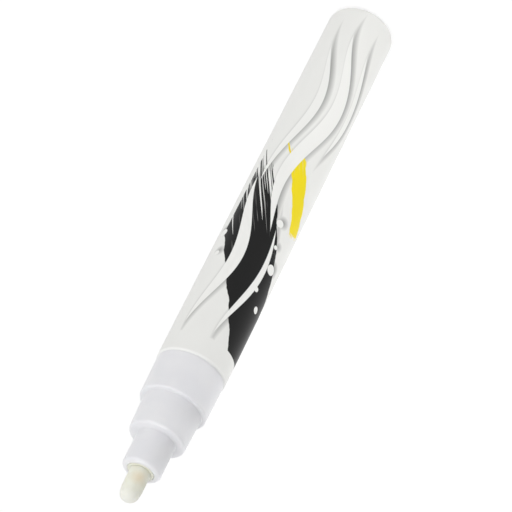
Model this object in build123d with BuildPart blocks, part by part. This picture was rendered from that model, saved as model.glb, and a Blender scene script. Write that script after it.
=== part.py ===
"""Liquid chalk marker with a bullet nib and a sprung ink valve, without a cap.

Every piece is round about the marker's own axis. The frame stands the marker on its closed rear
end: the origin is the centre of that end face, and +Z runs along the axis to the nib.
All sizes are millimetres.
"""

import os
from math import cos, pi, radians, sin, sqrt, tan

from build123d import *

# Fits shared by the pieces that go into each other
press_fit = 0.03
running_fit = 0.05
seal_fit = 0.01
rest_gap = 0.05

# Barrel, a moulded tube that holds the ink
barrel_diameter = 15.5
barrel_length = 102.75
barrel_wall = 1.0
barrel_floor = 1.6
barrel_end_round = 2.2
barrel_floor_round = 0.8
barrel_rim_length = 0.5
barrel_rim_drop = 0.2

# Nose holder, outside: three steps that get slimmer towards the nib
collar_step = 0.21
collar_draft = 0.14
collar_length = 9.45
collar_round = 0.45
collar_ledge = 0.95
shoulder_draft = 0.28
shoulder_length = 8.3
shoulder_round = 0.6
step_fillet = 0.3
tip_length = 8.15
tip_wall = 1.34
tip_round = 0.9

# Nose holder, inside: the plug that goes into the barrel and the chambers
plug_length = 13.0
plug_wall = 1.4
plug_chamfer = 0.4
shoulder_wall = 1.5
shoulder_front_wall = 1.4
mouth_depth = 0.05
mouth_chamfer = 0.2

# Rubber ring in the plug, and the bead that snaps into the barrel
seal_groove_depth = 0.7
seal_groove_width = 1.1
seal_groove_from_plug_end = 3.0
snap_height = 0.2
snap_half_width = 0.7
snap_from_mouth = 3.5

# Nib and the slotted tube that guides it
nib_diameter = 4.5
nib_reach = 7.35
nib_dome_inset = 0.12
nib_taper = 6.0
nib_rear_chamfer = 0.3
guide_wall = 0.55
guide_tail_length = 7.0
guide_flange_thickness = 1.2
guide_slot_count = 4
guide_slot_width = 1.1
guide_slot_length = 5.0

# Valve cartridge behind the nib
pump_travel = 2.5
pump_end_gap = 1.0
valve_setback = 1.0
cap_plate_thickness = 1.6
cap_skirt_wall = 0.55
cap_skirt_gap = 0.1
case_wall = 1.2
case_floor = 1.5
case_neck_length = 2.6
case_snap_height = 0.15
case_snap_half_width = 0.5
case_snap_from_plug_end = 7.0
window_count = 4
window_width = 2.2
window_height = 2.2
window_above_floor = 0.6
port_count = 6
port_diameter = 1.2

# Valve stem, its soft washer and its spring
stem_diameter = 2.6
stem_ink_gap = 0.4
stem_tail_diameter = 2.2
stem_tail_reach = 0.9
stem_chamfer = 0.25
flange_thickness = 1.2
flange_overlap = 0.75
washer_thickness = 0.8
washer_edge = 0.15
spring_wire = 0.5
spring_gap = 0.35
spring_length = 12.4
spring_turns = 7

# Two steel balls side by side in the barrel, with this gap between them and to the wall
ball_gap = 0.5

# Radii that follow from the sizes above
barrel_radius = barrel_diameter / 2
bore_radius = barrel_radius - barrel_wall
rim_radius = barrel_radius - barrel_rim_drop
plug_radius = bore_radius - press_fit
chamber_radius = plug_radius - plug_wall
collar_rear_radius = barrel_radius - collar_step
collar_front_radius = collar_rear_radius - collar_draft
shoulder_rear_radius = collar_front_radius - collar_ledge
shoulder_front_radius = shoulder_rear_radius - shoulder_draft
ink_chamber_radius = shoulder_front_radius - shoulder_wall
nib_radius = nib_diameter / 2
nib_dome_radius = nib_radius - nib_dome_inset
nib_taper_front_radius = nib_dome_radius * cos(radians(nib_taper))
guide_bore_radius = nib_radius + running_fit
guide_radius = guide_bore_radius + guide_wall
guide_flange_radius = ink_chamber_radius - press_fit
tip_bore_radius = guide_radius + press_fit
tip_radius = tip_bore_radius + tip_wall
shoulder_ledge = shoulder_front_radius - tip_radius
seal_groove_radius = plug_radius - seal_groove_depth
seal_ring_radius = (seal_groove_radius + bore_radius) / 2
seal_section_radius = (bore_radius - seal_groove_radius) / 2 - seal_fit
case_radius = chamber_radius - press_fit
case_bore_radius = case_radius - case_wall
skirt_bore_radius = case_radius - cap_skirt_wall
neck_radius = skirt_bore_radius - press_fit
stem_radius = stem_diameter / 2
stem_tail_radius = stem_tail_diameter / 2
stem_hole_radius = stem_tail_radius + running_fit
cap_hole_radius = stem_radius + stem_ink_gap
flange_radius = cap_hole_radius + flange_overlap
spring_radius = stem_tail_radius + spring_gap + spring_wire / 2
port_ring_radius = (spring_radius + spring_wire / 2 + case_bore_radius) / 2
ball_radius = (2 * bore_radius - 3 * ball_gap) / 4

# Heights above the rear end that follow from the sizes above
rim_start = barrel_length - barrel_rim_length
collar_front = barrel_length + collar_length
shoulder_front = collar_front + shoulder_length
tip_front = shoulder_front + tip_length
nib_front = tip_front + nib_reach
nib_dome_centre = nib_front - nib_dome_radius
nib_taper_front = nib_dome_centre + nib_dome_radius * sin(radians(nib_taper))
nib_taper_rear = nib_taper_front - (nib_radius - nib_taper_front_radius) / tan(radians(nib_taper))
guide_front = tip_front - mouth_depth
ink_chamber_front = shoulder_front - shoulder_front_wall
guide_rear = ink_chamber_front - guide_tail_length
guide_flange_rear = ink_chamber_front - guide_flange_thickness
plug_rear = barrel_length - plug_length
seal_groove_rear = plug_rear + seal_groove_from_plug_end
seal_groove_front = seal_groove_rear + seal_groove_width
seal_ring_centre = (seal_groove_rear + seal_groove_front) / 2
snap_centre = barrel_length - snap_from_mouth
case_snap_centre = plug_rear + case_snap_from_plug_end
valve_front = barrel_length - valve_setback
cap_plate_rear = valve_front - cap_plate_thickness
neck_rear = cap_plate_rear - case_neck_length
skirt_rear = neck_rear + cap_skirt_gap
nib_rear = valve_front + pump_travel + pump_end_gap
flange_front = cap_plate_rear - washer_thickness
flange_rear = flange_front - flange_thickness
case_floor_front = flange_rear - spring_length
case_rear = case_floor_front - case_floor
stem_rear = case_rear - stem_tail_reach
ball_centre = barrel_floor + rest_gap + ball_radius


def corner(section: BuildSketch, radius: float, height: float) -> Vertex:
    """The corner of a half section at this radius and height."""
    return section.vertices().sort_by_distance(Vector(radius, height))[0]


with BuildPart() as barrel:
    with BuildSketch(Plane.XZ) as barrel_section:
        with BuildLine():
            TangentArc(
                (barrel_radius, rim_start),
                (rim_radius, barrel_length),
                tangent=(0, 1),
            )
            Polyline(
                (rim_radius, barrel_length),
                (bore_radius, barrel_length),
                (bore_radius, snap_centre + snap_half_width),
                (bore_radius + snap_height, snap_centre),
                (bore_radius, snap_centre - snap_half_width),
                (bore_radius, barrel_floor),
                (0, barrel_floor),
                (0, 0),
                (barrel_radius, 0),
                (barrel_radius, rim_start),
            )
        make_face()
        fillet(corner(barrel_section, barrel_radius, 0), barrel_end_round)
        fillet(corner(barrel_section, bore_radius, barrel_floor), barrel_floor_round)
    revolve(axis=Axis.Z)
barrel.part.label = "barrel"

with BuildPart() as nose_holder:
    with BuildSketch(Plane.XZ) as nose_section:
        with BuildLine():
            Polyline(
                (chamber_radius, plug_rear),
                (plug_radius, plug_rear),
                (plug_radius, seal_groove_rear),
                (seal_groove_radius, seal_groove_rear),
                (seal_groove_radius, seal_groove_front),
                (plug_radius, seal_groove_front),
                (plug_radius, snap_centre - snap_half_width),
                (plug_radius + snap_height, snap_centre),
                (plug_radius, snap_centre + snap_half_width),
                (plug_radius, barrel_length),
                (collar_rear_radius, barrel_length),
                (collar_front_radius, collar_front),
                (shoulder_rear_radius, collar_front),
                (shoulder_front_radius, shoulder_front),
                (tip_radius, shoulder_front),
                (tip_radius, tip_front),
                (tip_bore_radius, tip_front),
                (tip_bore_radius, ink_chamber_front),
                (ink_chamber_radius, ink_chamber_front),
                (ink_chamber_radius, valve_front),
                (chamber_radius, valve_front),
                (chamber_radius, case_snap_centre + case_snap_half_width),
                (chamber_radius + case_snap_height, case_snap_centre),
                (chamber_radius, case_snap_centre - case_snap_half_width),
                close=True,
            )
        make_face()
        chamfer(corner(nose_section, plug_radius, plug_rear), plug_chamfer)
        for ledge, outer_radius, inner_radius, height, edge_round in (
            (collar_ledge, collar_front_radius, shoulder_rear_radius, collar_front, collar_round),
            (shoulder_ledge, shoulder_front_radius, tip_radius, shoulder_front, shoulder_round),
        ):
            fillet(corner(nose_section, outer_radius, height), min(edge_round, ledge / 2))
            fillet(corner(nose_section, inner_radius, height), min(step_fillet, ledge / 3))
        fillet(corner(nose_section, tip_radius, tip_front), tip_round)
        chamfer(corner(nose_section, tip_bore_radius, tip_front), mouth_chamfer)
    revolve(axis=Axis.Z)
nose_holder.part.label = "nose_holder"

with BuildPart() as nose_seal:
    with BuildSketch(Plane.XZ):
        with Locations((seal_ring_radius, seal_ring_centre)):
            Circle(seal_section_radius)
    revolve(axis=Axis.Z)
nose_seal.part.label = "nose_seal"

with BuildPart() as nib:
    with BuildSketch(Plane.XZ):
        with BuildLine():
            Polyline(
                (0, nib_front),
                (0, nib_rear),
                (nib_radius - nib_rear_chamfer, nib_rear),
                (nib_radius, nib_rear + nib_rear_chamfer),
                (nib_radius, nib_taper_rear),
                (nib_taper_front_radius, nib_taper_front),
            )
            CenterArc((0, nib_dome_centre), nib_dome_radius, nib_taper, 90 - nib_taper)
        make_face()
    revolve(axis=Axis.Z)
nib.part.label = "nib"

with BuildPart() as nib_guide:
    with BuildSketch(Plane.XZ):
        with BuildLine():
            Polyline(
                (guide_bore_radius, guide_rear),
                (guide_radius, guide_rear),
                (guide_radius, guide_flange_rear),
                (guide_flange_radius, guide_flange_rear),
                (guide_flange_radius, ink_chamber_front),
                (guide_radius, ink_chamber_front),
                (guide_radius, guide_front),
                (guide_bore_radius, guide_front),
                close=True,
            )
        make_face()
    revolve(axis=Axis.Z)
    with BuildSketch(Plane.XY.offset(guide_rear)):
        with PolarLocations((guide_bore_radius + guide_radius) / 2, guide_slot_count):
            Rectangle(2 * guide_wall, guide_slot_width)
    extrude(amount=guide_slot_length, mode=Mode.SUBTRACT)
nib_guide.part.label = "nib_guide"

with BuildPart() as valve_cap:
    with BuildSketch(Plane.XZ):
        with BuildLine():
            Polyline(
                (cap_hole_radius, cap_plate_rear),
                (skirt_bore_radius, cap_plate_rear),
                (skirt_bore_radius, skirt_rear),
                (case_radius, skirt_rear),
                (case_radius, valve_front),
                (cap_hole_radius, valve_front),
                close=True,
            )
        make_face()
    revolve(axis=Axis.Z)
valve_cap.part.label = "valve_cap"

with BuildPart() as valve_case:
    with BuildSketch(Plane.XZ):
        with BuildLine():
            Polyline(
                (stem_hole_radius, case_rear),
                (case_radius, case_rear),
                (case_radius, case_snap_centre - case_snap_half_width),
                (case_radius + case_snap_height, case_snap_centre),
                (case_radius, case_snap_centre + case_snap_half_width),
                (case_radius, neck_rear),
                (neck_radius, neck_rear),
                (neck_radius, cap_plate_rear),
                (case_bore_radius, cap_plate_rear),
                (case_bore_radius, case_floor_front),
                (stem_hole_radius, case_floor_front),
                close=True,
            )
        make_face()
    revolve(axis=Axis.Z)
    with BuildSketch(Plane.XY.offset(case_floor_front + window_above_floor)):
        with PolarLocations((case_bore_radius + case_radius) / 2, window_count):
            Rectangle(2 * case_wall, window_width)
    extrude(amount=window_height, mode=Mode.SUBTRACT)
    with BuildSketch(Plane.XY.offset(case_rear)):
        with PolarLocations(port_ring_radius, port_count):
            Circle(port_diameter / 2)
    extrude(amount=case_floor, mode=Mode.SUBTRACT)
valve_case.part.label = "valve_case"

with BuildPart() as valve_stem:
    with BuildSketch(Plane.XZ) as stem_section:
        with BuildLine():
            Polyline(
                (0, stem_rear),
                (stem_tail_radius, stem_rear),
                (stem_tail_radius, flange_rear),
                (flange_radius, flange_rear),
                (flange_radius, flange_front),
                (stem_radius, flange_front),
                (stem_radius, nib_rear),
                (0, nib_rear),
                close=True,
            )
        make_face()
        chamfer(corner(stem_section, stem_tail_radius, stem_rear), stem_chamfer)
        chamfer(corner(stem_section, stem_radius, nib_rear), stem_chamfer)
    revolve(axis=Axis.Z)
valve_stem.part.label = "valve_stem"

with BuildPart() as valve_seal:
    with BuildSketch(Plane.XY.offset(flange_front)):
        Circle(flange_radius - washer_edge)
        Circle(stem_radius + seal_fit, mode=Mode.SUBTRACT)
    extrude(amount=washer_thickness)
valve_seal.part.label = "valve_seal"

# Spring: half turns from seat to seat, each drawn as two arcs that run smoothly into each other.
# Its ends leave level with the seats and run straight for one wire thickness.
spring_start = case_floor_front + rest_gap + spring_wire / 2
spring_end = flange_rear - rest_gap - spring_wire / 2
spring_pitch = (spring_end - spring_start) / spring_turns
half_turns = 2 * spring_turns


def coil_point(half_turn: int) -> Vector:
    """Middle of the wire after this many half turns."""
    angle = pi * half_turn
    return Vector(
        spring_radius * cos(angle),
        spring_radius * sin(angle),
        spring_start + spring_pitch * half_turn / 2,
    )


def coil_direction(half_turn: int) -> Vector:
    """Direction of the wire there, level at the two ends of the spring."""
    angle = pi * half_turn
    climb = 0 if half_turn in (0, half_turns) else spring_pitch / (2 * pi * spring_radius)
    return Vector(-sin(angle), cos(angle), climb).normalized()


with BuildPart() as valve_spring:
    with BuildLine() as spring_line:
        Line(coil_point(0) - coil_direction(0) * spring_wire, coil_point(0))
        for half_turn in range(half_turns):
            start = coil_point(half_turn)
            end = coil_point(half_turn + 1)
            out = coil_direction(half_turn)
            back = coil_direction(half_turn + 1)
            span = end - start
            bend = 2 * (1 - out.dot(back))
            lean = 2 * span.dot(out + back)
            reach = (sqrt(lean**2 + 4 * bend * span.dot(span)) - lean) / (2 * bend)
            first_knee = start + out * reach
            second_knee = end - back * reach
            middle = (first_knee + second_knee) / 2
            TangentArc(start, middle, tangent=out)
            TangentArc(middle, end, tangent=second_knee - first_knee)
        Line(coil_point(half_turns), coil_point(half_turns) + coil_direction(half_turns) * spring_wire)
    spring_wire_line = spring_line.wire()
    with BuildSketch(Plane(origin=spring_wire_line @ 0, z_dir=spring_wire_line % 0)):
        Circle(spring_wire / 2)
    sweep(path=spring_wire_line)
valve_spring.part.label = "valve_spring"

samples_per_turn = 40
spring_samples = [
    spring_wire_line @ (i / (samples_per_turn * spring_turns))
    for i in range(samples_per_turn * spring_turns + 1)
]
spring_self_gap = min(
    (spring_samples[i] - spring_samples[j]).length - spring_wire
    for i in range(len(spring_samples))
    for j in range(i + samples_per_turn // 2, len(spring_samples))
)
print(f"valve_spring least gap to itself: {spring_self_gap:.2f} mm")

os.makedirs("parts", exist_ok=True)
export_step(barrel.part, "parts/barrel.step")
export_step(nose_holder.part, "parts/nose_holder.step")
export_step(nose_seal.part, "parts/nose_seal.step")
export_step(nib.part, "parts/nib.step")
export_step(nib_guide.part, "parts/nib_guide.step")
export_step(valve_cap.part, "parts/valve_cap.step")
export_step(valve_case.part, "parts/valve_case.step")
export_step(valve_stem.part, "parts/valve_stem.step")
export_step(valve_seal.part, "parts/valve_seal.step")
export_step(valve_spring.part, "parts/valve_spring.step")

for side_name, side in (("left", -1), ("right", 1)):
    with BuildPart() as mixing_ball:
        with Locations((side * (ball_radius + ball_gap / 2), 0, ball_centre)):
            Sphere(ball_radius)
    mixing_ball.part.label = f"mixing_ball_{side_name}"
    export_step(mixing_ball.part, f"parts/mixing_ball_{side_name}.step")
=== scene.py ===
"""Looks of a liquid chalk marker with a bullet nib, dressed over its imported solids.

The marker stands on its closed rear end, with the middle of that end at the origin, its axis along
+Z and the nib on top. Sizes are written in millimetres and MM turns them to the frame's metres.
"""

import logging
import math
from dataclasses import dataclass, field
from enum import Enum
from typing import Protocol, Sequence, Union

import bmesh
import bpy
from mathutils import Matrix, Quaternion, Vector


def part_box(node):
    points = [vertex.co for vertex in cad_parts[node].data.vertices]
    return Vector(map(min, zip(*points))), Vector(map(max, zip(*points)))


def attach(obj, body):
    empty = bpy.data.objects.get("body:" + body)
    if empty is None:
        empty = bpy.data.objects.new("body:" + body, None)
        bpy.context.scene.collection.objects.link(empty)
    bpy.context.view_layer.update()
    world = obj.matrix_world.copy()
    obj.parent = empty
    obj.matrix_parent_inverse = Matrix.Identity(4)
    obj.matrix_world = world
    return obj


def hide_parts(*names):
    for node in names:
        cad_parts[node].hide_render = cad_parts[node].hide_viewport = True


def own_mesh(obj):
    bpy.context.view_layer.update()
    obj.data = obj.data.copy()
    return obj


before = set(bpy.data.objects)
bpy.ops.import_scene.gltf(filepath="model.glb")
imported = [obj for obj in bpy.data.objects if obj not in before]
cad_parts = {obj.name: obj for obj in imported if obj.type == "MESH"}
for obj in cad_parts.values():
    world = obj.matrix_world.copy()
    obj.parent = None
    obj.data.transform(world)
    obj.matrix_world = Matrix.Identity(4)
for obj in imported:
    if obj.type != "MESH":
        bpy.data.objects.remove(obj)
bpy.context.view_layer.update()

LOG = logging.getLogger("chalk_marker")
MM = 0.001

# Fineness of a turned piece and of each rounded edge on it, which is an arc
TURN_STEPS = 160
ROUND_STEPS = 6
ROUND_PROFILE = 0.5
SMOOTH_ANGLE = math.radians(40)
MERGE_DISTANCE = 0.001 * MM

# Range that most values of a noise texture lie in, and the detail of a fine grain
NOISE_LOW, NOISE_HIGH = 0.35, 0.65
GRAIN_DETAIL = 2.0

# Places of the colour sockets on a Mix node
MIX_FACTOR, MIX_UNDER, MIX_OVER, MIX_RESULT = 0, 6, 7, 2

Socket = bpy.types.NodeSocket
Tree = bpy.types.NodeTree
Piece = bpy.types.Object
Inputs = dict[Union[str, int], Union[Socket, float, tuple]]
Point = tuple[float, float, float]
Colour = tuple[float, float, float, float]


class Slot(Enum):
    """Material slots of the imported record."""

    BARREL = "barrel_white"
    NOSE = "nose_translucent"
    NIB = "nib_fibre"
    SPRING = "spring_steel"


class Body(Enum):
    """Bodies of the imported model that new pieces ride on."""

    MARKER = "marker_body"
    PUMP = "pump"


def linear(hex_code: str) -> Colour:
    """Turns an sRGB colour to linear light.

    Args:
        hex_code: the colour as six hex digits after a hash sign.

    Returns:
        Linear red, green and blue, and an alpha of 1.
    """
    shares = [int(hex_code[i:i + 2], 16) / 255 for i in (1, 3, 5)]
    lit = [s / 12.92 if s <= 0.04045 else ((s + 0.055) / 1.055) ** 2.4 for s in shares]
    return (*lit, 1.0)


def clamp(share: float) -> float:
    """Holds a share between 0 and 1."""
    return min(max(share, 0.0), 1.0)


def add_node(
    tree: Tree,
    kind: str,
    inputs: Inputs,
    output: Union[str, int, None] = 0,
    **settings: Union[str, bool, float],
) -> Socket:
    """Adds one shader node with its settings, values and links.

    Args:
        tree: node tree that gets the node.
        kind: type of the node, without ShaderNode in front.
        inputs: a value, or a socket to link from, for each input by its name or number.
        output: name or number of the wanted output, or None where the node has none.
        settings: properties of the node.

    Returns:
        The wanted output socket, or None.
    """
    node = tree.nodes.new("ShaderNode" + kind)
    for name, value in settings.items():
        setattr(node, name, value)
    for place, value in inputs.items():
        if isinstance(value, bpy.types.NodeSocket):
            tree.links.new(value, node.inputs[place])
        else:
            node.inputs[place].default_value = value
    return None if output is None else node.outputs[output]


def start_material(name: str) -> tuple[bpy.types.Material, Tree, Socket]:
    """Starts a material with an empty node tree.

    Args:
        name: name of the material.

    Returns:
        The material, its node tree and the surface point in the marker's frame, in metres.
    """
    material = bpy.data.materials.new(name)
    material.use_nodes = True
    tree = material.node_tree
    tree.nodes.clear()
    return material, tree, add_node(tree, "TexCoord", {}, output="Object")


def end_material(tree: Tree, inputs: Inputs) -> None:
    """Ends a material with its Principled shader.

    Args:
        tree: the material's node tree.
        inputs: values and links of the shader.
    """
    shader = add_node(tree, "BsdfPrincipled", inputs)
    add_node(tree, "OutputMaterial", {"Surface": shader}, output=None)


class Finish(Protocol):
    """Anything that can make a material."""

    def material(self) -> bpy.types.Material:
        """Makes the finish's material."""


@dataclass(frozen=True)
class Ring:
    """One corner of an outline that is turned about the marker's axis, in millimetres."""

    radius: float
    height: float
    rounding: float = 0.0


def turn(name: str, outline: Sequence[Ring], hollow: bool = False) -> Piece:
    """Models a turned piece: a circle is extruded from ring to ring, then its edges are rounded.

    Args:
        name: name of the new object.
        outline: corners of the half section, in order. A last radius of 0 closes in a pole.
        hollow: True where the outline runs back to its first ring, as on a tube.

    Returns:
        The piece, smooth and closed, with its place in its mesh.
    """
    bpy.ops.object.select_all(action="DESELECT")
    first = outline[0]
    bpy.ops.mesh.primitive_circle_add(
        vertices=TURN_STEPS, radius=first.radius * MM, location=(0, 0, first.height * MM)
    )
    piece = bpy.context.object
    piece.name = piece.data.name = name
    bpy.ops.object.transform_apply(location=True, rotation=True, scale=True)
    bpy.ops.object.mode_set(mode="EDIT")
    bpy.ops.mesh.select_mode(type="EDGE")
    bpy.ops.mesh.select_all(action="SELECT")
    path = [*outline, first] if hollow else list(outline)
    for before, ring in zip(path, path[1:]):
        rise = (ring.height - before.height) * MM
        growth = ring.radius / before.radius
        bpy.ops.mesh.extrude_region_move(TRANSFORM_OT_translate={"value": (0, 0, rise)})
        bpy.ops.transform.resize(
            value=(growth, growth, 1), center_override=(0, 0, ring.height * MM)
        )
    bpy.ops.mesh.select_all(action="SELECT")
    bpy.ops.mesh.remove_doubles(threshold=MERGE_DISTANCE)
    bpy.ops.mesh.fill_holes(sides=0)
    for ring in outline:
        if ring.rounding:
            round_edge(piece, ring)
    bpy.ops.mesh.select_all(action="SELECT")
    bpy.ops.mesh.normals_make_consistent(inside=False)
    bpy.ops.object.mode_set(mode="OBJECT")
    bpy.ops.object.shade_smooth_by_angle(angle=SMOOTH_ANGLE)
    return piece


def round_edge(piece: Piece, ring: Ring) -> None:
    """Rounds the edge of a turned piece at one ring, in edit mode.

    Args:
        piece: the piece that is being modelled.
        ring: place and rounding of the edge.
    """
    bpy.ops.mesh.select_all(action="DESELECT")
    mesh = bmesh.from_edit_mesh(piece.data)
    for edge in mesh.edges:
        edge.select_set(all(
            abs(vertex.co.xy.length - ring.radius * MM) < MERGE_DISTANCE
            and abs(vertex.co.z - ring.height * MM) < MERGE_DISTANCE
            for vertex in edge.verts
        ))
    bmesh.update_edit_mesh(piece.data)
    bpy.ops.mesh.bevel(
        offset=ring.rounding * MM,
        segments=ROUND_STEPS,
        profile=ROUND_PROFILE,
        affect="EDGES",
        clamp_overlap=False,
    )


def flatten_shading(piece: Piece) -> None:
    """Lets the large faces set the shading, so that walls look straight up to their rounded edges.

    Args:
        piece: the turned piece.
    """
    bpy.ops.object.modifier_add(type="WEIGHTED_NORMAL")
    weighing = piece.modifiers[-1]
    weighing.keep_sharp = True
    bpy.ops.object.modifier_apply(modifier=weighing.name)


def dress(piece: Piece, finish: Finish) -> None:
    """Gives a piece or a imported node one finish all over.

    Args:
        piece: the object to dress.
        finish: what it is made of.
    """
    piece.data.materials.clear()
    piece.data.materials.append(finish.material())
    LOG.info("%s: dressed in %s", piece.name, piece.data.materials[0].name)


def seat(piece: Piece, body: Body, node: str) -> None:
    """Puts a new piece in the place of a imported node.

    Args:
        piece: the new piece.
        body: body that it moves with.
        node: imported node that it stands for.
    """
    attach(piece, body.value)
    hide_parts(node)
    LOG.info("%s: %d faces, rides on %s", piece.name, len(piece.data.polygons), body.value)


@dataclass(frozen=True)
class Skin:
    """The barrel's printed skin laid flat, in millimetres.

    around runs from the front line to the marker's +X side, along from the rear end to the nib.
    """

    tree: Tree
    around: Socket
    along: Socket
    girth: float

    def flat(self, middle: float) -> Socket:
        """Lays the skin flat with its seam opposite a motif.

        Args:
            middle: place of the motif round the barrel.

        Returns:
            The flat point: around, along and 0.
        """
        wrapped = add_node(
            self.tree,
            "Math",
            {0: self.around, 1: middle + self.girth / 2, 2: middle - self.girth / 2},
            operation="WRAP",
        )
        return add_node(self.tree, "CombineXYZ", {"X": wrapped, "Y": self.along})

    def moved(self, around: float, along: float) -> "Skin":
        """Moves all that is drawn on the skin, as for a shadow.

        Args:
            around: shift round the barrel.
            along: shift along the barrel.

        Returns:
            The skin on which the same motifs are drawn moved.
        """
        places = [
            add_node(self.tree, "Math", {0: place, 1: shift}, operation="SUBTRACT")
            for place, shift in ((self.around, around), (self.along, along))
        ]
        return Skin(self.tree, *places, self.girth)


@dataclass(frozen=True)
class BrushStroke:
    """A dry brush stroke: full where the brush is put down, with bristle marks at its tail."""

    around: float
    along: float
    length: float
    width: float
    tail: float
    seed: float
    seed_step: float = 7.0
    heading: float = -64.0
    bristle: float = 0.6
    bristle_run: float = 60.0
    gap: float = 0.3
    gap_run: float = 20.0
    ragged: float = 0.5
    ragged_run: float = 3.5
    ragged_start: float = 1.5
    dry: float = 0.47
    noise_low: float = 0.3
    noise_high: float = 0.7

    def depth(self, skin: Skin) -> Socket:
        """Measures how far a point lies inside the stroke.

        Args:
            skin: the barrel's skin.

        Returns:
            Millimetres inside the stroke, negative outside it.
        """
        tree = skin.tree
        local = add_node(
            tree,
            "Mapping",
            {
                "Vector": skin.flat(self.around),
                "Location": (self.around, self.along, 0.0),
                "Rotation": (0.0, 0.0, math.radians(self.heading)),
            },
            vector_type="TEXTURE",
        )
        run = add_node(tree, "SeparateXYZ", {0: local})
        side = add_node(tree, "Math", {0: run.node.outputs["Y"]}, operation="ABSOLUTE")
        noises = []
        for layer, (long, wide) in enumerate((
            (self.bristle_run, self.bristle),
            (self.gap_run, self.gap),
            (self.ragged_run, 2 * self.width),
        )):
            place = add_node(tree, "Mapping", {
                "Vector": local,
                "Location": (0.0, 0.0, self.seed + layer * self.seed_step),
                "Scale": (1 / long, 1 / wide, 1.0),
            })
            noises.append(add_node(tree, "TexNoise", {"Vector": place, "Scale": 1.0}))
        marks, gaps, rough = noises
        half, end, begin = [
            add_node(tree, "MapRange", {
                "Value": noise,
                "From Min": self.noise_low,
                "From Max": self.noise_high,
                "To Min": low,
                "To Max": high,
            })
            for noise, low, high in (
                (rough, self.width / 2 - self.ragged, self.width / 2),
                (marks, self.length - self.tail, self.length),
                (gaps, 0.0, self.ragged_start),
            )
        ]
        dryness = add_node(tree, "MapRange", {
            "Value": run, "From Max": self.length, "To Min": 1.0, "To Max": self.dry,
        })
        inside = None
        for high, low in ((half, side), (end, run), (run, begin), (dryness, gaps)):
            margin = add_node(tree, "Math", {0: high, 1: low}, operation="SUBTRACT")
            if inside:
                margin = add_node(tree, "Math", {0: inside, 1: margin}, operation="MINIMUM")
            inside = margin
        return inside


@dataclass(frozen=True)
class Drop:
    """A round drop of chalk ink."""

    around: float
    along: float
    radius: float

    def depth(self, skin: Skin) -> Socket:
        """Measures how far a point lies inside the drop.

        Args:
            skin: the barrel's skin.

        Returns:
            Millimetres inside the drop, negative outside it.
        """
        far = add_node(
            skin.tree,
            "VectorMath",
            {0: skin.flat(self.around), 1: (self.around, self.along, 0.0)},
            output="Value",
            operation="DISTANCE",
        )
        return add_node(skin.tree, "Math", {0: self.radius, 1: far}, operation="SUBTRACT")


@dataclass(frozen=True)
class Ribbon:
    """A swung ribbon of chalk ink along the barrel, fat in the middle and pointed at its ends."""

    around: float
    start: float
    length: float
    width: float
    swing: float
    phase: float
    wavelength: float = 46.0

    def depth(self, skin: Skin) -> Socket:
        """Measures how far a point lies inside the ribbon.

        Args:
            skin: the barrel's skin.

        Returns:
            Millimetres inside the ribbon, negative outside it.
        """
        tree = skin.tree
        place = add_node(tree, "SeparateXYZ", {0: skin.flat(self.around)})
        angle = add_node(
            tree,
            "Math",
            {0: skin.along, 1: 2 * math.pi / self.wavelength, 2: self.phase},
            operation="MULTIPLY_ADD",
        )
        sine = add_node(tree, "Math", {0: angle}, operation="SINE")
        line = add_node(
            tree, "Math", {0: sine, 1: self.swing, 2: self.around}, operation="MULTIPLY_ADD"
        )
        off = add_node(tree, "Math", {0: place, 1: line}, operation="SUBTRACT")
        far = add_node(tree, "Math", {0: off}, operation="ABSOLUTE")
        run = add_node(tree, "MapRange", {
            "Value": skin.along,
            "From Min": self.start,
            "From Max": self.start + self.length,
            "To Min": -1.0,
        }, clamp=False)
        square = add_node(tree, "Math", {0: run, 1: run}, operation="MULTIPLY")
        half = add_node(
            tree,
            "Math",
            {0: square, 1: -self.width / 2, 2: self.width / 2},
            operation="MULTIPLY_ADD",
        )
        return add_node(tree, "Math", {0: half, 1: far}, operation="SUBTRACT")


Motif = Union[BrushStroke, Drop, Ribbon]


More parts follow.
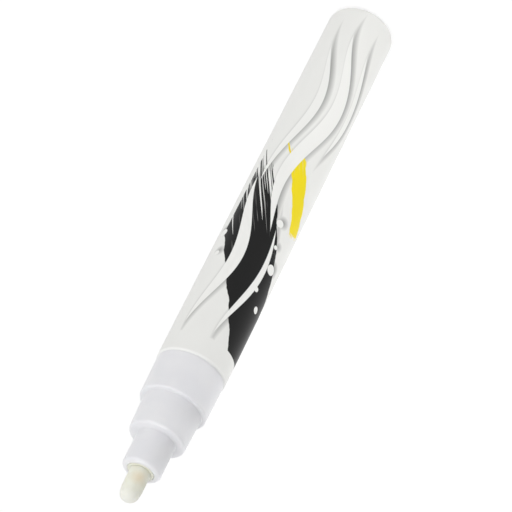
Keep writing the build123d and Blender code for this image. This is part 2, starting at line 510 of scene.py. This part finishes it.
@dataclass(frozen=True)
class PrintedPolypropylene:
    """Screen-printed white polypropylene of the barrel.

    The tube is injection moulded in a finely blasted mould, so light glides over it in a soft sheen
    with no mirror image, and the white is a little warm. The inks lie on it as thin, even films
    with crisp edges, a little glossier than the bare plastic. The chalk drawings are printed with
    a soft grey shade beside them, so that they seem to stand off the barrel. The mouth's rounded
    edge is painted lighter, a painted highlight where it catches the light.
    """

    radius: float
    print_end: float = 97.5
    edge: float = 0.05
    white: str = "#ECECE9"
    # Painted highlight: a lighter white painted on the mouth's rounded edge, where it catches the
    # light
    rim_highlight_white: str = "#F6F6F4"
    rim_highlight_start: float = 102.05
    rim_highlight_fade: float = 0.35
    black: str = "#161616"
    yellow: str = "#F2DC1C"
    chalk: str = "#F1F1EE"
    shade: str = "#8E8E8C"
    shade_shift: tuple[float, float] = (-0.5, -0.6)
    shade_spread: float = 0.9
    roughness: float = 0.38
    ink_roughness: float = 0.34
    ior: float = 1.49
    gloss: float = 0.17
    grain: float = 0.6
    grain_depth: float = 0.003
    # A stroke's place around and along, length, width, tail and seed
    black_strokes: tuple[Motif, ...] = (
        BrushStroke(-16.0, 106.0, 76.0, 12.5, 36.0, 1.0),
        BrushStroke(21.0, 60.0, 40.0, 6.0, 22.0, 23.0),
    )
    yellow_strokes: tuple[Motif, ...] = (
        BrushStroke(-8.5, 64.0, 27.0, 4.2, 10.0, 41.0),
        BrushStroke(15.0, 92.0, 24.0, 3.6, 9.0, 57.0),
    )
    # A ribbon's place around, start, length, width, swing and phase, and a drop's place and radius
    chalk_drawings: tuple[Motif, ...] = (
        Ribbon(-1.0, 9.0, 58.0, 3.4, 2.2, 0.6),
        Ribbon(3.6, 13.0, 42.0, 2.0, 2.0, 0.6),
        Ribbon(-5.4, 12.0, 30.0, 1.6, 1.8, 0.6),
        Ribbon(4.6, 54.0, 41.0, 2.8, 2.2, 0.6),
        Ribbon(-2.4, 66.0, 30.0, 1.5, 2.0, 0.6),
        Drop(-3.0, 64.0, 0.9),
        Drop(-4.6, 69.5, 0.5),
        Drop(-6.2, 74.5, 1.2),
        Drop(-4.9, 81.0, 0.6),
        Drop(-7.6, 84.5, 0.8),
        Drop(8.6, 70.0, 1.0),
        Drop(7.4, 76.0, 0.6),
        Ribbon(22.0, 20.0, 58.0, 3.2, 2.2, 2.4),
        Ribbon(17.4, 16.0, 40.0, 1.8, 2.0, 2.4),
        Drop(16.6, 80.0, 0.9),
        Drop(20.4, 86.0, 0.6),
    )

    def skin(self, tree: Tree, point: Socket) -> Skin:
        """Lays the barrel's skin flat.

        Args:
            tree: the material's node tree.
            point: surface point in metres.

        Returns:
            The skin with its places in millimetres.
        """
        x = add_node(tree, "SeparateXYZ", {0: point})
        y, z = x.node.outputs["Y"], x.node.outputs["Z"]
        front = add_node(tree, "Math", {0: y, 1: -1.0}, operation="MULTIPLY")
        angle = add_node(tree, "Math", {0: x, 1: front}, operation="ARCTAN2")
        around = add_node(tree, "Math", {0: angle, 1: self.radius}, operation="MULTIPLY")
        along = add_node(tree, "Math", {0: z, 1: 1 / MM}, operation="MULTIPLY")
        return Skin(tree, around, along, 2 * math.pi * self.radius)

    def joint_depth(self, skin: Skin, motifs: Sequence[Motif]) -> Socket:
        """Joins motifs of one ink and cuts them off at the end of the print.

        Args:
            skin: the barrel's skin.
            motifs: the motifs.

        Returns:
            Millimetres inside the ink, negative outside it.
        """
        joint = motifs[0].depth(skin)
        for motif in motifs[1:]:
            joint = add_node(
                skin.tree, "Math", {0: joint, 1: motif.depth(skin)}, operation="MAXIMUM"
            )
        room = add_node(
            skin.tree, "Math", {0: self.print_end, 1: skin.along}, operation="SUBTRACT"
        )
        return add_node(skin.tree, "Math", {0: joint, 1: room}, operation="MINIMUM")

    def material(self) -> bpy.types.Material:
        """Makes the finish's material."""
        material, tree, point = start_material("screen_printed_polypropylene")
        skin = self.skin(tree, point)
        shadow = skin.moved(*self.shade_shift)
        layers = (
            (self.shade, shadow, self.chalk_drawings, -self.shade_spread, self.shade_spread),
            (self.yellow, skin, self.yellow_strokes, -self.edge, self.edge),
            (self.black, skin, self.black_strokes, -self.edge, self.edge),
            (self.chalk, skin, self.chalk_drawings, -self.edge, self.edge),
        )
        # Painted highlight: the white fades to a lighter white over the mouth's rounded edge
        painted_rim_highlight = add_node(tree, "MapRange", {
            "Value": skin.along,
            "From Min": self.rim_highlight_start,
            "From Max": self.rim_highlight_start + self.rim_highlight_fade,
        })
        colour = add_node(
            tree,
            "Mix",
            {MIX_FACTOR: painted_rim_highlight, MIX_UNDER: linear(self.white), MIX_OVER: linear(self.rim_highlight_white)},
            output=MIX_RESULT,
            data_type="RGBA",
        )
        shares = []
        for ink, sheet, motifs, outside, inside in layers:
            shares.append(add_node(tree, "MapRange", {
                "Value": self.joint_depth(sheet, motifs),
                "From Min": outside,
                "From Max": inside,
            }))
            colour = add_node(
                tree,
                "Mix",
                {MIX_FACTOR: shares[-1], MIX_UNDER: colour, MIX_OVER: linear(ink)},
                output=MIX_RESULT,
                data_type="RGBA",
            )
        _, yellow, black, _ = shares
        inked = add_node(tree, "Math", {0: yellow, 1: black}, operation="MAXIMUM")
        roughness = add_node(tree, "MapRange", {
            "Value": inked, "To Min": self.roughness, "To Max": self.ink_roughness,
        })
        grain = add_node(tree, "TexNoise", {
            "Vector": point, "Scale": 1 / (self.grain * MM), "Detail": GRAIN_DETAIL,
        })
        bump = add_node(tree, "Bump", {"Height": grain, "Distance": self.grain_depth * MM})
        end_material(tree, {
            "Base Color": colour,
            "Roughness": roughness,
            "IOR": self.ior,
            "Specular IOR Level": self.gloss,
            "Normal": bump,
        })
        return material


@dataclass(frozen=True)
class MouldedPlastic:
    """Unpigmented moulded plastic: the milky polypropylene of the nose and the acetal of the valve.

    Light goes in and spreads below the surface, so edges and steps look soft and milky. The melt
    leaves faint clouds where it flowed, and the mould a fine, satin grain.
    """

    name: str
    milk: str
    cloud: str
    spread: float
    spread_share: float
    roughness: float
    ior: float
    spread_tint: Point = (1.0, 0.95, 0.95)
    clouds: float = 5.0
    grain: float = 0.7
    grain_depth: float = 0.003

    def material(self) -> bpy.types.Material:
        """Makes the finish's material."""
        material, tree, point = start_material(self.name)
        flow, grain = [
            add_node(tree, "TexNoise", {
                "Vector": point, "Scale": 1 / (size * MM), "Detail": GRAIN_DETAIL,
            })
            for size in (self.clouds, self.grain)
        ]
        share = add_node(tree, "MapRange", {
            "Value": flow, "From Min": NOISE_LOW, "From Max": NOISE_HIGH,
        })
        colour = add_node(
            tree,
            "Mix",
            {MIX_FACTOR: share, MIX_UNDER: linear(self.milk), MIX_OVER: linear(self.cloud)},
            output=MIX_RESULT,
            data_type="RGBA",
        )
        bump = add_node(tree, "Bump", {"Height": grain, "Distance": self.grain_depth * MM})
        end_material(tree, {
            "Base Color": colour,
            "Roughness": self.roughness,
            "IOR": self.ior,
            "Subsurface Weight": self.spread_share,
            "Subsurface Radius": self.spread_tint,
            "Subsurface Scale": self.spread * MM,
            "Normal": bump,
        })
        return material


@dataclass(frozen=True)
class BondedFibre:
    """Bonded polyester fibre of the nib, drawn as a rod and ground to a bullet.

    Thousands of fine fibres lie along the nib and are glued together, so it is dull and cream, with
    faint streaks along it, a mottled tint where the binder is thicker and a tan stain near its
    root. The ground dome is paler, because the cut ends of the fibres scatter more light. The
    fibres are drawn a few times coarser than their 0.02 mm, so that they show.
    """

    cream: str = "#EFF0E5"
    binder: str = "#E9E8D8"
    cut_ends: str = "#EAEAE3"
    cut_from: float = 132.6
    cut_to: float = 135.6
    tan: str = "#E9E0CA"
    stain_place: Point = (-0.2, -2.2, 131.0)
    stain_radius: float = 2.5
    mottle: float = 1.6
    fibre: float = 0.12
    fibre_length: float = 2.5
    fibre_depth: float = 0.02
    roughness: float = 0.85
    ior: float = 1.45
    spread: float = 1.0
    spread_share: float = 0.8
    spread_tint: Point = (1.0, 0.97, 0.9)

    def material(self) -> bpy.types.Material:
        """Makes the finish's material."""
        material, tree, point = start_material("bonded_polyester_fibre")
        mottle = add_node(tree, "TexNoise", {
            "Vector": point, "Scale": 1 / (self.mottle * MM), "Detail": GRAIN_DETAIL,
        })
        share = add_node(tree, "MapRange", {
            "Value": mottle, "From Min": NOISE_LOW, "From Max": NOISE_HIGH,
        })
        off = add_node(
            tree,
            "VectorMath",
            {0: point, 1: Vector(self.stain_place) * MM},
            output="Value",
            operation="DISTANCE",
        )
        stain = add_node(
            tree,
            "MapRange",
            {"Value": off, "From Max": self.stain_radius * MM, "To Min": 1.0, "To Max": 0.0},
            interpolation_type="SMOOTHSTEP",
        )
        height = add_node(tree, "SeparateXYZ", {0: point}, output="Z")
        ground = add_node(tree, "MapRange", {
            "Value": height, "From Min": self.cut_from * MM, "From Max": self.cut_to * MM,
        })
        colour = linear(self.cream)
        layers = ((share, self.binder), (ground, self.cut_ends), (stain, self.tan))
        for cover, tint in layers:
            colour = add_node(
                tree,
                "Mix",
                {MIX_FACTOR: cover, MIX_UNDER: colour, MIX_OVER: linear(tint)},
                output=MIX_RESULT,
                data_type="RGBA",
            )
        along = add_node(
            tree,
            "Mapping",
            {"Vector": point, "Scale": (1.0, 1.0, self.fibre / self.fibre_length)},
        )
        fibre = add_node(tree, "TexNoise", {
            "Vector": along, "Scale": 1 / (self.fibre * MM), "Detail": GRAIN_DETAIL,
        })
        bump = add_node(tree, "Bump", {"Height": fibre, "Distance": self.fibre_depth * MM})
        end_material(tree, {
            "Base Color": colour,
            "Roughness": self.roughness,
            "IOR": self.ior,
            "Subsurface Weight": self.spread_share,
            "Subsurface Radius": self.spread_tint,
            "Subsurface Scale": self.spread * MM,
            "Normal": bump,
        })
        return material


@dataclass(frozen=True)
class NitrileRubber:
    """Black nitrile rubber of the seals, pressed and trimmed.

    Soot makes it nearly black, and a thin wax bloom leaves it dull with paler specks.
    """

    soot: str = "#1C1C1C"
    bloom: str = "#333332"
    bloom_from: float = 0.45
    bloom_to: float = 0.8
    speck: float = 0.35
    speck_detail: float = 3.0
    roughness: float = 0.62
    ior: float = 1.52
    grain_depth: float = 0.006

    def material(self) -> bpy.types.Material:
        """Makes the finish's material."""
        material, tree, point = start_material("nitrile_rubber_black")
        specks = add_node(tree, "TexNoise", {
            "Vector": point, "Scale": 1 / (self.speck * MM), "Detail": self.speck_detail,
        })
        share = add_node(tree, "MapRange", {
            "Value": specks, "From Min": self.bloom_from, "From Max": self.bloom_to,
        })
        colour = add_node(
            tree,
            "Mix",
            {MIX_FACTOR: share, MIX_UNDER: linear(self.soot), MIX_OVER: linear(self.bloom)},
            output=MIX_RESULT,
            data_type="RGBA",
        )
        bump = add_node(tree, "Bump", {"Height": specks, "Distance": self.grain_depth * MM})
        end_material(tree, {
            "Base Color": colour,
            "Roughness": self.roughness,
            "IOR": self.ior,
            "Normal": bump,
        })
        return material


@dataclass(frozen=True)
class StainlessSteel:
    """Stainless steel of the spring wire and of the mixing balls.

    The wire is drawn, which leaves it satin, and the balls are ground and polished bright. Slow
    bands of roughness and tint keep the highlights from looking like glass.
    """

    name: str
    bright: str
    dim: str
    band: float
    smooth: float
    rough: float
    band_detail: float = 4.0

    def material(self) -> bpy.types.Material:
        """Makes the finish's material."""
        material, tree, point = start_material(self.name)
        bands = add_node(tree, "TexNoise", {
            "Vector": point, "Scale": 1 / (self.band * MM), "Detail": self.band_detail,
        })
        share = add_node(tree, "MapRange", {
            "Value": bands, "From Min": NOISE_LOW, "From Max": NOISE_HIGH,
        })
        colour = add_node(
            tree,
            "Mix",
            {MIX_FACTOR: share, MIX_UNDER: linear(self.bright), MIX_OVER: linear(self.dim)},
            output=MIX_RESULT,
            data_type="RGBA",
        )
        roughness = add_node(
            tree, "MapRange", {"Value": share, "To Min": self.smooth, "To Max": self.rough}
        )
        end_material(tree, {"Base Color": colour, "Roughness": roughness, "Metallic": 1.0})
        return material


MILKY_POLYPROPYLENE = MouldedPlastic(
    name="natural_polypropylene",
    milk="#EAEAEC",
    cloud="#E7E7EA",
    spread=0.35,
    spread_share=0.6,
    roughness=0.30,
    ior=1.49,
)
NATURAL_ACETAL = MouldedPlastic(
    name="natural_acetal",
    milk="#EDEDDE",
    cloud="#E7E7D6",
    spread=0.5,
    spread_share=0.6,
    roughness=0.45,
    ior=1.48,
)
DRAWN_WIRE = StainlessSteel(
    name="drawn_stainless_wire",
    bright="#C4C2BE",
    dim="#A9A7A3",
    band=0.4,
    smooth=0.24,
    rough=0.36,
)
POLISHED_BALL = StainlessSteel(
    name="polished_stainless",
    bright="#D0CFCD",
    dim="#C6C5C2",
    band=2.0,
    smooth=0.06,
    rough=0.12,
)


@dataclass
class Barrel:
    """White tube that holds the ink, closed at the rear."""

    radius: float = field(init=False)
    length: float = field(init=False)
    wall: float = 1.0
    floor: float = 1.6
    end_round: float = 2.2
    floor_round: float = 0.8
    rim_length: float = 0.5
    rim_drop: float = 0.2
    rim_steps: int = 6
    snap_depth: float = 0.2
    snap_half_width: float = 0.7
    snap_from_mouth: float = 3.5
    gate_recess_radius: float = 3.0
    gate_recess_depth: float = 0.3
    gate_radius: float = 0.7
    gate_height: float = 0.2

    def __post_init__(self) -> None:
        """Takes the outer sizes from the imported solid."""
        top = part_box("barrel")[1] / MM
        self.radius, self.length = top.x, top.z

    def rim(self) -> list[Ring]:
        """Gives the edge of the mouth, which leaves the wall smoothly and bends inwards."""
        bend = (self.rim_length ** 2 + self.rim_drop ** 2) / (2 * self.rim_drop)
        sweep = math.asin(self.rim_length / bend)
        return [
            Ring(
                self.radius - bend * (1 - math.cos(sweep * step / self.rim_steps)),
                self.length - self.rim_length + bend * math.sin(sweep * step / self.rim_steps),
            )
            for step in range(self.rim_steps + 1)
        ]

    def outline(self) -> list[Ring]:
        """Gives the half section, from the moulding gate outwards, up, and down the bore."""
        bore = self.radius - self.wall
        snap = self.length - self.snap_from_mouth
        return [
            Ring(self.gate_radius, self.gate_recess_depth - self.gate_height),
            Ring(self.gate_radius, self.gate_recess_depth),
            Ring(self.gate_recess_radius, self.gate_recess_depth),
            Ring(self.gate_recess_radius, 0.0),
            Ring(self.radius, 0.0, self.end_round),
            *self.rim(),
            Ring(bore, self.length),
            Ring(bore, snap + self.snap_half_width),
            Ring(bore + self.snap_depth, snap),
            Ring(bore, snap - self.snap_half_width),
            Ring(bore, self.floor, self.floor_round),
            Ring(0.0, self.floor),
        ]

    def build(self) -> None:
        """Models the barrel and dresses it."""
        piece = turn("barrel_tube", self.outline())
        flatten_shading(piece)
        dress(piece, PrintedPolypropylene(self.radius))
        seat(piece, Body.MARKER, "barrel")


@dataclass
class Nose:
    """Milky holder of the nib in three steps, plugged into the barrel's mouth.

    A name with rear, middle, front, start or end, and without radius, is a height above the
    marker's rear end.
    """

    plug_radius: float = 6.72
    plug_rear: float = 89.75
    plug_chamfer: float = 0.4
    groove_radius: float = 6.02
    groove_rear: float = 92.75
    groove_front: float = 93.85
    snap_middle: float = 99.25
    snap_height: float = 0.2
    snap_half_width: float = 0.7
    collar_rear_radius: float = 7.54
    collar_front_radius: float = 7.40
    collar_round: float = 0.45
    collar_start: float = 102.75
    shoulder_rear_radius: float = 6.45
    shoulder_front_radius: float = 6.17
    shoulder_round: float = 0.6
    shoulder_start: float = 112.2
    step_fillet: float = 0.3
    tip_radius: float = 4.22
    tip_round: float = 0.9
    tip_start: float = 120.5
    tip_end: float = 128.65
    tip_bore_radius: float = 2.88
    mouth_chamfer: float = 0.2
    ink_chamber_radius: float = 4.67
    ink_chamber_front: float = 119.1
    valve_front: float = 101.75
    chamber_radius: float = 5.32
    case_snap_middle: float = 96.75
    case_snap_height: float = 0.15
    case_snap_half_width: float = 0.5

    def outline(self) -> list[Ring]:
        """Gives the half section, from the plug's rear edge outwards, up, and down inside."""
        return [
            Ring(self.chamber_radius, self.plug_rear),
            Ring(self.plug_radius - self.plug_chamfer, self.plug_rear),
            Ring(self.plug_radius, self.plug_rear + self.plug_chamfer),
            Ring(self.plug_radius, self.groove_rear),
            Ring(self.groove_radius, self.groove_rear),
            Ring(self.groove_radius, self.groove_front),
            Ring(self.plug_radius, self.groove_front),
            Ring(self.plug_radius, self.snap_middle - self.snap_half_width),
            Ring(self.plug_radius + self.snap_height, self.snap_middle),
            Ring(self.plug_radius, self.snap_middle + self.snap_half_width),
            Ring(self.plug_radius, self.collar_start),
            Ring(self.collar_rear_radius, self.collar_start),
            Ring(self.collar_front_radius, self.shoulder_start, self.collar_round),
            Ring(self.shoulder_rear_radius, self.shoulder_start, self.step_fillet),
            Ring(self.shoulder_front_radius, self.tip_start, self.shoulder_round),
            Ring(self.tip_radius, self.tip_start, self.step_fillet),
            Ring(self.tip_radius, self.tip_end, self.tip_round),
            Ring(self.tip_bore_radius + self.mouth_chamfer, self.tip_end),
            Ring(self.tip_bore_radius, self.tip_end - self.mouth_chamfer),
            Ring(self.tip_bore_radius, self.ink_chamber_front),
            Ring(self.ink_chamber_radius, self.ink_chamber_front),
            Ring(self.ink_chamber_radius, self.valve_front),
            Ring(self.chamber_radius, self.valve_front),
            Ring(self.chamber_radius, self.case_snap_middle + self.case_snap_half_width),
            Ring(self.chamber_radius + self.case_snap_height, self.case_snap_middle),
            Ring(self.chamber_radius, self.case_snap_middle - self.case_snap_half_width),
        ]

    def build(self) -> None:
        """Models the holder and dresses it and its ring and guide."""
        piece = turn("nose_shell", self.outline(), hollow=True)
        flatten_shading(piece)
        dress(piece, MILKY_POLYPROPYLENE)
        seat(piece, Body.MARKER, "nose_holder")
        dress(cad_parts["nose_seal"], NitrileRubber())
        dress(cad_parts["nib_guide"], NATURAL_ACETAL)


@dataclass
class Nib:
    """Bullet nib of bonded fibre, a rod with a slight taper and a round dome."""

    radius: float = 2.25
    rear_chamfer: float = 0.3
    dome_radius: float = 2.13
    taper: float = 6.0
    bare_from: float = 128.4
    ring_step: float = 0.25
    swell: float = 0.035
    swell_to: float = 129.15
    swell_fade: float = 0.5
    dome_steps: int = 16
    lump: float = 0.5
    lump_depth: float = 0.06
    lumps_from: float = 128.65
    lumps_fade: float = 1.0

    def root_radius(self, height: float) -> float:
        """Gives the radius near the guide, where the fibres swell and nearly fill its bore.

        Args:
            height: height above the marker's rear end.

        Returns:
            The radius there.
        """
        return self.radius + self.swell * clamp((self.swell_to - height) / self.swell_fade)

    def outline(self) -> list[Ring]:
        """Gives the half section from the rear end up to the pole of the dome."""
        rear, front = [corner.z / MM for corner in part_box("nib")]
        slope = math.radians(self.taper)
        centre = front - self.dome_radius
        dome = [
            Ring(self.dome_radius * math.cos(angle), centre + self.dome_radius * math.sin(angle))
            for angle in (
                slope + (math.pi / 2 - slope) * step / self.dome_steps
                for step in range(self.dome_steps)
            )
        ]
        taper_rear = dome[0].height - (self.radius - dome[0].radius) / math.tan(slope)
        heights = [
            self.bare_from + step * self.ring_step
            for step in range(int((taper_rear - self.bare_from) / self.ring_step))
        ]
        return [
            Ring(self.radius - self.rear_chamfer, rear),
            Ring(self.radius, rear + self.rear_chamfer),
            Ring(self.radius, self.bare_from - self.ring_step),
            *[Ring(self.root_radius(height), height) for height in heights],
            Ring(self.radius, taper_rear),
            *dome,
            Ring(0.0, front),
        ]

    def roughen(self, piece: Piece) -> None:
        """Presses shallow dents into the bare end, where the ground fibres lie unevenly.

        Args:
            piece: the turned nib.
        """
        group = piece.vertex_groups.new(name="bare_end")
        for vertex in piece.data.vertices:
            share = clamp((vertex.co.z / MM - self.lumps_from) / self.lumps_fade)
            group.add([vertex.index], share, "REPLACE")
        lumps = bpy.data.textures.new("ground_fibre", "CLOUDS")
        lumps.noise_scale = self.lump * MM
        bpy.ops.object.modifier_add(type="DISPLACE")
        dents = piece.modifiers[-1]
        dents.texture = lumps
        dents.texture_coords = "LOCAL"
        dents.vertex_group = group.name
        dents.mid_level = 1.0
        dents.strength = self.lump_depth * MM
        bpy.ops.object.modifier_apply(modifier=dents.name)

    def build(self) -> None:
        """Models the nib and dresses it."""
        piece = turn("fibre_nib", self.outline())
        self.roughen(piece)
        dress(piece, BondedFibre())
        seat(piece, Body.PUMP, "nib")


@dataclass
class Valve:
    """Sprung valve behind the nib: a plunger in a cup with a cap, and the coil that closes it."""

    spring_seat: float = 85.75
    travel: float = 2.5

    def build_spring(self) -> None:
        """Copies the coil as one joined mesh."""
        bpy.ops.object.select_all(action="DESELECT")
        coil = bpy.data.objects.new("coil_spring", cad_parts["valve_spring"].data.copy())
        bpy.context.scene.collection.objects.link(coil)
        bpy.context.view_layer.objects.active = coil
        coil.select_set(True)
        bpy.ops.mesh.customdata_custom_splitnormals_clear()
        bpy.ops.object.mode_set(mode="EDIT")
        bpy.ops.mesh.select_all(action="SELECT")
        bpy.ops.mesh.remove_doubles(threshold=MERGE_DISTANCE)
        bpy.ops.object.mode_set(mode="OBJECT")
        bpy.ops.object.shade_smooth_by_angle(angle=SMOOTH_ANGLE)
        dress(coil, DRAWN_WIRE)
        seat(coil, Body.MARKER, "valve_spring")
        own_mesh(coil)

    def build(self) -> None:
        """Dresses the valve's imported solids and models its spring."""
        for node in ("valve_cap", "valve_case", "valve_stem"):
            dress(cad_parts[node], NATURAL_ACETAL)
        dress(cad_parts["valve_seal"], NitrileRubber())
        self.build_spring()


@dataclass
class MixingBalls:
    """Two steel balls that stir the pigment when the marker is shaken."""

    nodes: tuple[str, str] = ("mixing_ball_left", "mixing_ball_right")

    def build(self) -> None:
        """Dresses the balls."""
        for node in self.nodes:
            dress(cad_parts[node], POLISHED_BALL)


@dataclass
class SoftBox:
    """A soft studio lamp, in millimetres, watts and degrees.

    A grid narrows its spread. A small lamp near the marker isn't mirrored, so that its own bright
    square never shows in the gloss.
    """

    name: str
    place: Point
    size: float
    power: float
    aim: Point = (0.0, 0.0, 100.0)
    spread: float = 180.0
    mirrored: bool = True

    def build(self) -> None:
        """Hangs the lamp and turns it to its aim."""
        lamp = bpy.data.lights.new(self.name, "AREA")
        lamp.shape = "SQUARE"
        lamp.size = self.size * MM
        lamp.energy = self.power
        lamp.spread = math.radians(self.spread)
        box = bpy.data.objects.new(self.name, lamp)
        bpy.context.scene.collection.objects.link(box)
        box.location = Vector(self.place) * MM
        box.visible_camera = False
        box.visible_glossy = self.mirrored
        direction = (Vector(self.aim) - Vector(self.place)).normalized()
        box.rotation_mode = "QUATERNION"
        box.rotation_quaternion = direction.to_track_quat("-Z", "Y")


@dataclass
class Studio:
    """Pale floor, soft light and the camera of the photograph."""

    camera_place: Point = (0.0, -448.7, 370.4)
    camera_aim: Point = (-1.411, -0.052, 69.362)
    camera_roll: float = -153.49
    camera_view: float = 11.58
    sensor: float = 36.0
    floor_size: float = 6000.0
    floor_white: str = "#F2F2F2"
    floor_seen: str = "#A0A0A0"
    floor_lift: float = 0.74
    far_lift: float = 0.84
    lift_from: float = 200.0
    lift_to: float = 700.0
    world_white: str = "#FFFFFF"
    world_level: float = 0.5
    world_seen: float = 1.0
    lamps: tuple[SoftBox, ...] = (
        SoftBox("key_box", (400.0, -400.0, 185.0), 360.0, 0.93, aim=(0.0, 0.0, 60.0)),
        SoftBox("top_box", (50.0, -40.0, 640.0), 300.0, 1.1),
        SoftBox("fill_box", (-400.0, -400.0, 155.0), 300.0, 0.22),
        SoftBox("back_box", (-350.0, 350.0, 155.0), 300.0, 0.36),
        SoftBox(
            "table_box",
            (-45.0, -15.0, 1.0),
            40.0,
            0.024,
            aim=(-45.0, -15.0, 100.0),
            spread=60.0,
            mirrored=False,
        ),
        SoftBox(
            "rear_box",
            (-320.0, -120.0, 30.0),
            100.0,
            0.01,
            aim=(0.0, 0.0, 12.0),
            spread=24.0,
            mirrored=False,
        ),
        SoftBox(
            "front_box",
            (20.0, -290.0, 60.0),
            100.0,
            0.0015,
            aim=(0.0, 0.0, 15.0),
            spread=24.0,
            mirrored=False,
        ),
    )

    def seen_ray(self, tree: Tree) -> Socket:
        """Gives 1 for what is seen straight, mirrored or through glass, and 0 for lighting.

        Args:
            tree: node tree that reads it.

        Returns:
            A socket with 0 or 1.
        """
        camera = add_node(tree, "LightPath", {}, output="Is Camera Ray")
        seen = camera
        for kind in ("Is Glossy Ray", "Is Transmission Ray"):
            seen = add_node(
                tree, "Math", {0: seen, 1: camera.node.outputs[kind]}, operation="MAXIMUM"
            )
        return seen

    def lay_floor(self) -> None:
        """Lays the floor that the marker stands on.

        It throws light back as white paper does. The eye sees it with lighter shadows, as in a
        light tent, and paler where the lamps no longer reach.
        """
        bpy.ops.object.select_all(action="DESELECT")
        bpy.ops.mesh.primitive_plane_add(size=self.floor_size * MM)
        floor = bpy.context.object
        floor.name = "floor"
        material, tree, point = start_material("pale_paper_floor")
        seen = self.seen_ray(tree)
        shade = add_node(
            tree,
            "Mix",
            {
                MIX_FACTOR: seen,
                MIX_UNDER: linear(self.floor_white),
                MIX_OVER: linear(self.floor_seen),
            },
            output=MIX_RESULT,
            data_type="RGBA",
        )
        paper = add_node(tree, "BsdfDiffuse", {"Color": shade})
        off = add_node(tree, "VectorMath", {0: point}, output="Value", operation="LENGTH")
        paleness = add_node(tree, "MapRange", {
            "Value": off,
            "From Min": self.lift_from * MM,
            "From Max": self.lift_to * MM,
            "To Min": self.floor_lift,
            "To Max": self.far_lift,
        })
        lift = add_node(tree, "Math", {0: seen, 1: paleness}, operation="MULTIPLY")
        glow = add_node(tree, "Emission", {"Strength": lift})
        both = add_node(tree, "AddShader", {0: paper, 1: glow})
        add_node(tree, "OutputMaterial", {"Surface": both}, output=None)
        floor.data.materials.append(material)

    def light(self) -> None:
        """Sets the world and hangs the lamps."""
        world = bpy.data.worlds.new("studio")
        bpy.context.scene.world = world
        world.use_nodes = True
        tree = world.node_tree
        tree.nodes.clear()
        strength = add_node(
            tree,
            "MapRange",
            {"Value": self.seen_ray(tree), "To Min": self.world_level, "To Max": self.world_seen},
        )
        glow = add_node(
            tree, "Background", {"Color": linear(self.world_white), "Strength": strength}
        )
        add_node(tree, "OutputWorld", {"Surface": glow}, output=None)
        for lamp in self.lamps:
            lamp.build()

    def place_camera(self) -> None:
        """Puts the camera where the photograph was taken from."""
        lens = bpy.data.cameras.new("photo_camera")
        lens.sensor_width = self.sensor
        lens.lens = self.sensor / 2 / math.tan(math.radians(self.camera_view) / 2)
        camera = bpy.data.objects.new("photo_camera", lens)
        bpy.context.scene.collection.objects.link(camera)
        place = Vector(self.camera_place) * MM
        forward = (Vector(self.camera_aim) * MM - place).normalized()
        roll = Quaternion((0.0, 0.0, 1.0), math.radians(self.camera_roll))
        camera.location = place
        camera.rotation_mode = "QUATERNION"
        camera.rotation_quaternion = forward.to_track_quat("-Z", "Y") @ roll
        bpy.context.scene.camera = camera

    def build(self) -> None:
        """Sets up the whole studio."""
        bpy.context.scene.view_settings.view_transform = "Standard"
        self.lay_floor()
        self.light()
        self.place_camera()


def main() -> None:
    """Builds the marker piece by piece, then the studio."""
    logging.basicConfig(level=logging.INFO, format="%(message)s")
    for part in (Barrel(), Nose(), Nib(), Valve(), MixingBalls(), Studio()):
        part.build()


if __name__ == "__main__":
    main()
